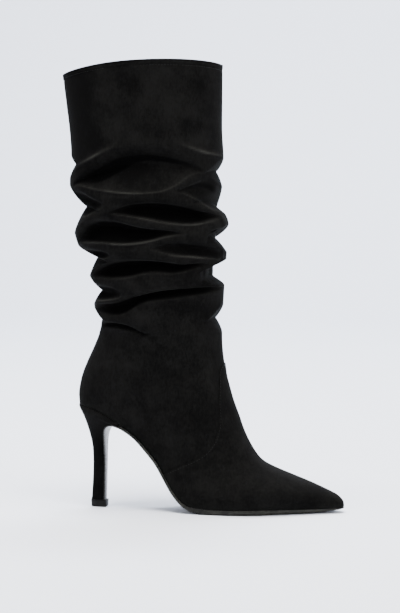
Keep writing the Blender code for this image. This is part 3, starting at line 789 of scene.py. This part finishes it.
def makeUpper():
    columns = upperLook["columns"]

    def place(row, column):
        around = 2.0 * column / columns - 1.0
        at = meshRows[row]
        if at > cornerRow and abs(around) > edgeLimit:
            return None
        return outside(at, around)

    # the marks: painted shade in the pockets, lips painted lighter by rubbing and as painted highlight,
    # and patches painted darker or lighter
    def paint(row, column):
        around = 2.0 * column / columns - 1.0
        if meshRows[row] >= cornerRow:
            return 0.0, 0.0, 0.0
        z = smoothForm(meshRows[row], around).z
        angle = 180.0 * around
        hollowShade, light = foldShape(angle, z)[2:]
        return hollowShade, max(light, creaseShape(angle, z)[1]), napAndShadeTone(angle, z)

    bm = layGrid(len(meshRows) - 1, columns, place, ("hollowShade", "lip", "dusk"), paint)
    upper = makePiece("slouchUpper", bm, "suede", suede, lining)
    addWall(upper, upperLook["wall"], -1.0, material_offset=1, material_offset_rim=0)
    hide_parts("upper")
    return upper


upper = makeUpper()
print("upper made:", len(upper.data.polygons), "faces in its skin")


# Vamp: the front panel, laid over the upper and stitched along its seam
seamLine = [
    # z then x of the seam, seen from the side
    (31.0, 52.0), (36.1, 71.6), (42.7, 84.8), (49.1, 95.4), (56.0, 104.6), (65.0, 110.5),
    (76.0, 113.6), (101.0, 112.5), (115.0, 112.3), (127.0, 112.1), (130.6, 113.3), (133.1, 114.9),
]
vampLook = {"half": 44, "rows": 76, "thickness": 0.85, "edge": (0.22, 2, 50), "stitched": 0.02}


seamSearch = {"top": cornerRow - 4.0, "ridge": cornerRow + 1.0, "waist": cornerRow + 4.0,
              "end": cornerRow + 9.0, "parts": 4, "apart": 0.004, "clear": 0.02, "fine": 1e-4}


def findLow(low, high, passed):
    # the place between low and high from which passed holds
    while high - low > seamSearch["fine"]:
        middle = (low + high) / 2.0
        if passed(middle):
            high = middle
        else:
            low = middle
    return high


def ahead(row, around):
    point = smoothForm(row, around)
    return point.x > smoothThrough(seamLine, point.z)


def seamPath(side):
    # rows and turns of the seam, from the ridge of the instep down to the feather edge
    search = seamSearch
    high = findLow(search["top"], search["ridge"], lambda row: ahead(row, 0.0))
    low = findLow(search["waist"], search["end"], lambda row: ahead(row, side * edgeShare))

    def turnAt(row, z):
        return findLow(0.0, edgeShare, lambda turn: smoothForm(row, side * turn).z < z)

    path = [(high, 0.0)]
    heights = [mix(start[0], stop[0], step / search["parts"])
               for start, stop in zip(seamLine, seamLine[1:]) for step in range(search["parts"])]
    for z in reversed(heights):
        x = smoothThrough(seamLine, z)
        row = findLow(search["top"], search["end"],
                      lambda row: smoothForm(row, side * turnAt(row, z)).x > x)
        turn = turnAt(row, z)
        onward = path[-1][1] + search["apart"] < turn < edgeShare - search["clear"]
        if onward and path[-1][0] < row < low:
            path.append((row, turn))
    path.append((low, edgeShare))
    travelled = 0.0
    marks = []
    before = smoothForm(high, 0.0)
    for row, turn in path:
        here = smoothForm(row, side * turn)
        travelled += (here - before).length
        before = here
        marks.append((travelled, row, turn))
    rowMarks = [(far, row) for far, row, turn in marks]
    turnMarks = [(far, turn) for far, row, turn in marks]
    even = []
    for step in range(vampLook["half"] + 1):
        at = travelled * step / vampLook["half"]
        even.append((smoothThrough(rowMarks, at), side * smoothThrough(turnMarks, at)))
    return even


def makeVamp():
    inner = seamPath(-1.0)
    outer = seamPath(1.0)
    seam = inner[:0:-1] + outer
    half = vampLook["half"]

    def at(share, column):
        row, around = seam[column]
        end = edgeShare * (column - half) / half
        return mix(row, lastRow, share), mix(around, end, share)

    bm = layGrid(vampLook["rows"], 2 * half,
                 lambda row, column: outside(*at(row / vampLook["rows"], column)))
    vamp = makePiece("vampPanel", bm, "suede", suede)
    addWall(vamp, vampLook["thickness"], 1.0)
    softenEdges(vamp, *vampLook["edge"])
    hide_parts("vamp")
    # the seam's places, each with one a little further in that shows which way the panel lies
    return vamp, [(at(0.0, column), at(vampLook["stitched"], column)) for column in range(2 * half + 1)]


vamp, seamPlaces = makeVamp()
print("vamp made:", len(vamp.data.polygons), "faces")


def outward(row, around):
    # the direction that points out of the form at a place on it
    near = 0.004
    down = outside(min(row + near, lastRow), around) - outside(max(row - near, 0.0), around)
    across = outside(row, around + near) - outside(row, around - near)
    return across.cross(down).normalized()


stitchLook = {"length": 1.9, "gap": 0.75, "thick": 0.34, "inset": 1.5, "lift": 0.78}
hemStitchLook = dict(stitchLook, thick=0.3, lift=0.05, row=0.65, steps=160)


def sewAlong(bm, path, look):
    # lays stitches end to end along (point, outward) pairs
    pitch = look["length"] + look["gap"]
    travelled = 0.0
    due = pitch / 2.0
    for (start, startOut), (stop, stopOut) in zip(path, path[1:]):
        span = (stop - start).length
        while due <= travelled + span:
            share = (due - travelled) / span
            up = mix(startOut, stopOut, share).normalized()
            along = (stop - start).normalized()
            side = up.cross(along).normalized()
            spot = (mix(start, stop, share) + up * look["lift"]) * mm
            turn = Matrix((along, side, up)).transposed().to_4x4()
            thin = look["thick"] / 2.0
            size = Matrix.Diagonal((look["length"] / 2.0, thin, thin, 1.0))
            bmesh.ops.create_uvsphere(
                bm, u_segments=8, v_segments=6, radius=mm,
                matrix=Matrix.Translation(spot) @ turn @ size)
            due += pitch
        travelled += span


def makeStitches():
    bm = bmesh.new()
    path = []
    for edge, further in seamPlaces[1:-1]:
        point = outside(*edge)
        inside = (outside(*further) - point).normalized()
        path.append((point + inside * stitchLook["inset"], outward(*edge)))
    sewAlong(bm, path, stitchLook)
    hemPath = []
    row = hemStitchLook["row"]
    for step in range(hemStitchLook["steps"] + 1):
        around = 2.0 * step / hemStitchLook["steps"] - 1.0
        hemPath.append((outside(row, around), outward(row, around)))
    sewAlong(bm, hemPath, hemStitchLook)
    return makePiece("seamStitches", bm, "suede", thread)


stitches = makeStitches()
print("stitches made:", len(stitches.data.polygons), "faces")


# Heel: a slim wooden heel under a suede cover, as rings from the top rim down to the tip
heelRings = [
    # breastX breastZ backX backZ half
    (20.8, 74.3, -18.5, 93.0, 25.2),
    (16.0, 75.4, -17.9, 91.2, 23.7),
    (12.0, 74.7, -16.5, 88.2, 21.3),
    (9.2, 72.4, -14.3, 83.6, 17.8),
    (7.6, 69.4, -12.2, 78.0, 14.4),
    (6.8, 65.5, -10.2, 71.8, 11.4),
    (6.5, 60.0, -8.2, 64.6, 9.2),
    (6.5, 52.5, -6.4, 55.5, 7.5),
    (6.6, 42.0, -5.8, 43.0, 6.3),
    (6.4, 30.0, -6.0, 30.0, 5.7),
    (6.1, 17.0, -6.7, 17.0, 5.3),
    (5.8, 6.8, -7.3, 6.8, 5.1),
]
heelLook = {"columns": 48, "round": 0.8, "proud": 0.2, "frontX": 22.6, "rows": 6,
            "roll": 0.28, "rollStep": 7.0, "rollReach": 1.2, "edge": (0.3, 3, 50),
            "duskStep": 0.03, "duskMost": 0.4}
waistPoint = Vector((26.0, 0.0, 72.2))
towardsFloor = Vector((-0.03, 0.0, -1.0))
flapThickness = 1.2
gap = 0.3


def heelOutline(column, half):
    # share of the ring's length from its back, and the Y there: a D with its flat in front
    columns = heelLook["columns"]
    middle = columns // 2
    away = column % (columns + 1) - middle
    share = 1.0
    if abs(away) < middle:
        share = heelLook["round"] * (1.0 - cos(pi / 2.0 * away / (middle - 1)))
    near = 1.0 - min(share / heelLook["round"], 1.0)
    side = (away > 0) - (away < 0)
    return share, side * half * sqrt(1.0 - near * near)


def breastLine():
    # points of the flap's outer face down the breast, and the direction into the heel
    points = [Vector((ring[0], 0.0, ring[1])) for ring in heelRings]
    run = [waistPoint] + points + [points[-1] + towardsFloor]
    normals = []
    for before, after in zip(run, run[2:]):
        along = (after - before).normalized()
        normals.append(Vector((along.z, 0.0, -along.x)))
    return points, normals


def smoothRows(rows, share):
    # values between the rows of a table, smooth and evenly numbered
    columns = zip(*rows)
    return [smoothThrough(list(enumerate(column)), share) for column in columns]


def makeHeel():
    fronts = []
    for point, normal in zip(*breastLine()):
        face = point + normal * (flapThickness + gap)
        fronts.append((face.x, face.z))
    rings = [(front[0], front[1]) + ring[2:] for front, ring in zip(fronts, heelRings)]
    topX = featherLine[0][0] - heelLook["proud"]
    per = heelLook["rows"]
    count = (len(rings) - 1) * per

    def place(row, column):
        if row == 0:
            share, y = heelOutline(column, heelRings[0][4] + heelLook["proud"])
            x = mix(topX, heelLook["frontX"], share)
            return Vector((x, y, featherHeight(max(x, featherLine[0][0])) - gap))
        frontX, frontZ, backX, backZ, half = smoothRows(rings, (row - 1) / per)
        left = (count - row + 1) * heelLook["rollStep"] / per
        roll = heelLook["roll"] * exp(-(left / heelLook["rollReach"]) ** 2)
        share, y = heelOutline(column, half + roll)
        return Vector((mix(backX - roll, frontX, share), y, mix(backZ, frontZ, share)))

    # the heel's suede is painted darker from its top rim down, up to a limit
    bm = layGrid(count + 1, heelLook["columns"] + 1, place, ("dusk",),
                 lambda row, column: (min(heelLook["duskStep"] * row, heelLook["duskMost"]),))
    closeEnds(bm)
    heel = makePiece("coveredHeel", bm, "suede", suede)
    softenEdges(heel, *heelLook["edge"])
    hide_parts("heel")


makeHeel()
print("heel made")

tipEdge = (0.25, 3, 25)
tipLevels = [
    # z backX frontX half
    (0.0, -7.2, 6.4, 4.9),
    (0.8, -7.7, 6.9, 5.1),
    (6.5, -8.0, 7.1, 5.3),
]


def makeTip():
    def place(row, column):
        z, backX, frontX, half = tipLevels[row]
        share, y = heelOutline(column, half)
        return Vector((mix(backX, frontX, share), y, z))

    bm = layGrid(len(tipLevels) - 1, heelLook["columns"] + 1, place)
    closeEnds(bm)
    tip = makePiece("heelTip", bm, "tip_rubber", rubber)
    softenEdges(tip, *tipEdge)
    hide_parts("top_piece")


makeTip()
print("heel tip made")

# Outsole: from the toe back to the waist and on down the breast of the heel as one strip
underside = [
    # x and z of the sole's lower face below the arcs of the foot, from the last but one back to the waist
    (221.2, 3.5), (218.6, 3.0), (213.2, 2.5), (205.0, 1.7), (194.5, 1.0), (181.0, 0.7), (165.0, 0.5),
    (149.0, 0.0), (129.0, 0.0), (113.0, 0.0), (97.0, 0.0), (83.0, 5.2), (72.3, 15.9), (64.1, 29.1),
    (56.4, 42.0), (47.0, 53.4), (36.3, 65.0), (26.0, 72.2),
]
soleSizes = {"welt": 1.1, "chamfer": 1.5, "edgeShare": 0.42, "rows": 5, "edge": (0.4, 3, 28),
             "sideTilt": 0.35, "toeTilt": 0.6, "toeFrom": 200.0}
toeEnd = (222.4, 5.2, 222.4, 4.0, -1.0, 3.0)        # as the stations below


def soleStations():
    # upper x and z, lower x and z, half widths to the outer and inner side
    stations = [toeEnd]
    for index, (lowX, lowZ) in zip(range(len(footArcs) - 2, 0, -1), underside):
        arc = footArcs[index]
        before = featherLine[index]
        after = featherLine[index + 2]
        along = Vector((after[0] - before[0], 0.0, after[1] - before[1])).normalized()
        top = Vector((arc[2] + along.z * gap, 0.0, arc[3] - along.x * gap))
        halves = [half + soleSizes["welt"] for half in arc[6:8]]
        stations.append((top.x, top.z, lowX, lowZ, *halves))
    for ring, point, normal in zip(heelRings, *breastLine()):
        top = point + normal * flapThickness
        stations.append((top.x, top.z, point.x, point.z, ring[4], ring[4]))
    return stations


def makeOutsole():
    stations = soleStations()
    per = soleSizes["rows"]

    def place(row, column):
        topX, topZ, lowX, lowZ, lateral, medial = smoothRows(stations, row / per)
        top = Vector((topX, 0.0, topZ))
        low = Vector((lowX, 0.0, lowZ))
        sideLow = mix(low, top, soleSizes["edgeShare"])
        chamfer = soleSizes["chamfer"]
        corners = [(top, -lateral), (top, medial), (sideLow, medial), (low, medial - chamfer),
                   (low, chamfer - lateral), (sideLow, -lateral)]
        spot, y = corners[column % len(corners)]
        return Vector((spot.x, y, max(spot.z, 0.0)))

    bm = layGrid((len(stations) - 1) * per, 6, place)
    closeEnds(bm, 6)
    for face in bm.faces:
        # the trimmed edge is stained dark, on both sides and round the toe
        side = abs(face.normal.y) > soleSizes["sideTilt"]
        inFront = face.calc_center_median().x > soleSizes["toeFrom"] * mm
        if side or inFront and face.normal.x > soleSizes["toeTilt"]:
            face.material_index = 1
    outsole = makePiece("leatherOutsole", bm, "sole_leather", soleLeather, soleEdge)
    softenEdges(outsole, *soleSizes["edge"])
    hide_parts("outsole")


makeOutsole()
print("outsole made")

insoleSizes = {"thickness": 1.8, "inset": 3.2, "endX": 200.0, "rows": 4, "edge": (0.5, 2, 40),
               "seatTurns": (165, 148, 130)}


def makeInsole():
    stations = []
    radius = seat["radius"] - insoleSizes["inset"]
    for turn in insoleSizes["seatTurns"]:
        x = seat["centreX"] + radius * cos(radians(turn))
        half = radius * sin(radians(turn))
        stations.append((x, featherHeight(x), half, half))
    for arc in footArcs:
        if arc[2] > insoleSizes["endX"]:
            break
        halves = [half - insoleSizes["inset"] for half in arc[6:8]]
        stations.append((arc[2], arc[3], *halves))
    per = insoleSizes["rows"]

    def place(row, column):
        x, z, lateral, medial = smoothRows(stations, row / per)
        high = z + insoleSizes["thickness"]
        corners = [(-lateral, z), (medial, z), (medial, high), (-lateral, high)]
        return Vector((x, *corners[column % len(corners)]))

    bm = layGrid((len(stations) - 1) * per, 4, place)
    closeEnds(bm, 4)
    insole = makePiece("sockInsole", bm, "sock_lining", lining)
    softenEdges(insole, *insoleSizes["edge"])
    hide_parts("insole")


makeInsole()
print("insole made")

# A pale floor that sweeps up into the backdrop, in metres
stageSizes = {"wide": 4.5, "near": -4.0, "bendY": 2.6, "bend": 0.8, "steps": 12, "high": 4.0}
stageLook = {"dark": (0.78, 0.805, 0.87, 1.0), "light": (0.80, 0.825, 0.89, 1.0), "cloudScale": 2.0}


def stageMaterial(look):
    graph = Graph("paleFloor")
    wide = graph.noise(graph.place(), look["cloudScale"])
    colour = graph.toned(wide, look)
    return graph.surface(Base_Color=colour, Roughness=0.75, Specular_IOR_Level=0.3)


def makeStage(sizes):
    half = sizes["wide"]
    profile = [(sizes["near"], 0.0), (sizes["bendY"], 0.0)]
    for step in range(1, sizes["steps"] + 1):
        turn = pi / 2.0 * step / sizes["steps"]
        profile.append((sizes["bendY"] + sizes["bend"] * sin(turn), sizes["bend"] * (1.0 - cos(turn))))
    profile.append((profile[-1][0], sizes["high"]))
    bm = bmesh.new()
    verts = [bm.verts.new((-half, y, z)) for y, z in profile]
    edges = [bm.edges.new(pair) for pair in zip(verts, verts[1:])]
    grown = bmesh.ops.extrude_edge_only(bm, edges=edges)
    moved = [item for item in grown["geom"] if isinstance(item, bmesh.types.BMVert)]
    bmesh.ops.translate(bm, verts=moved, vec=(2.0 * half, 0.0, 0.0))
    bmesh.ops.recalc_face_normals(bm, faces=bm.faces[:])
    floor = makeObject("paleFloor", bm, [stageMaterial(stageLook)])


makeStage(stageSizes)

# Soft studio light
lights = [
    # name, place, aimed at, size, watts, colour
    ("topSoftbox", (-0.1, -0.35, 2.2), (0.08, 0.0, 0.15), 1.1, 128.0, (1.0, 0.985, 0.965)),
    ("wallSoftbox", (0.0, 1.5, 3.2), (-0.4, 3.4, 0.8), 1.8, 300.0, (0.90, 0.94, 1.0)),
    ("leftSoftbox", (-2.0, -1.1, 1.2), (0.05, 0.0, 0.2), 1.2, 5.0, (1.0, 0.98, 0.95)),
    ("rightSoftbox", (1.9, -1.5, 1.3), (0.05, 0.0, 0.2), 1.2, 60.0, (1.0, 0.99, 0.98)),
]


def addLight(name, place, aim, size, watts, colour):
    data = bpy.data.lights.new(name, "AREA")
    data.shape = "SQUARE"
    data.size = size
    data.energy = watts
    data.color = colour
    light = bpy.data.objects.new(name, data)
    light.location = place
    light.rotation_euler = (Vector(aim) - Vector(place)).to_track_quat("-Z", "Y").to_euler()
    bpy.context.scene.collection.objects.link(light)


for light in lights:
    addLight(*light)

airLook = {"colour": (0.93, 0.95, 1.0, 1.0), "strength": 0.60}
world = bpy.data.worlds.new("studio")
bpy.context.scene.world = world
world.use_nodes = True
air = world.node_tree.nodes["Background"]
air.inputs["Color"].default_value = airLook["colour"]
air.inputs["Strength"].default_value = airLook["strength"]
print("stage and lights made")

cameraLook = {"place": (0.4223, -1.8711, 0.29), "down": 3.235, "turn": 10.0, "lens": 124.7,
              "film": 36.0}
cameraData = bpy.data.cameras.new("studioCamera")
cameraData.lens = cameraLook["lens"]
cameraData.sensor_width = cameraLook["film"]
camera = bpy.data.objects.new("studioCamera", cameraData)
camera.location = cameraLook["place"]
camera.rotation_euler = (radians(90.0 - cameraLook["down"]), 0.0, radians(cameraLook["turn"]))
bpy.context.scene.collection.objects.link(camera)
bpy.context.scene.camera = camera
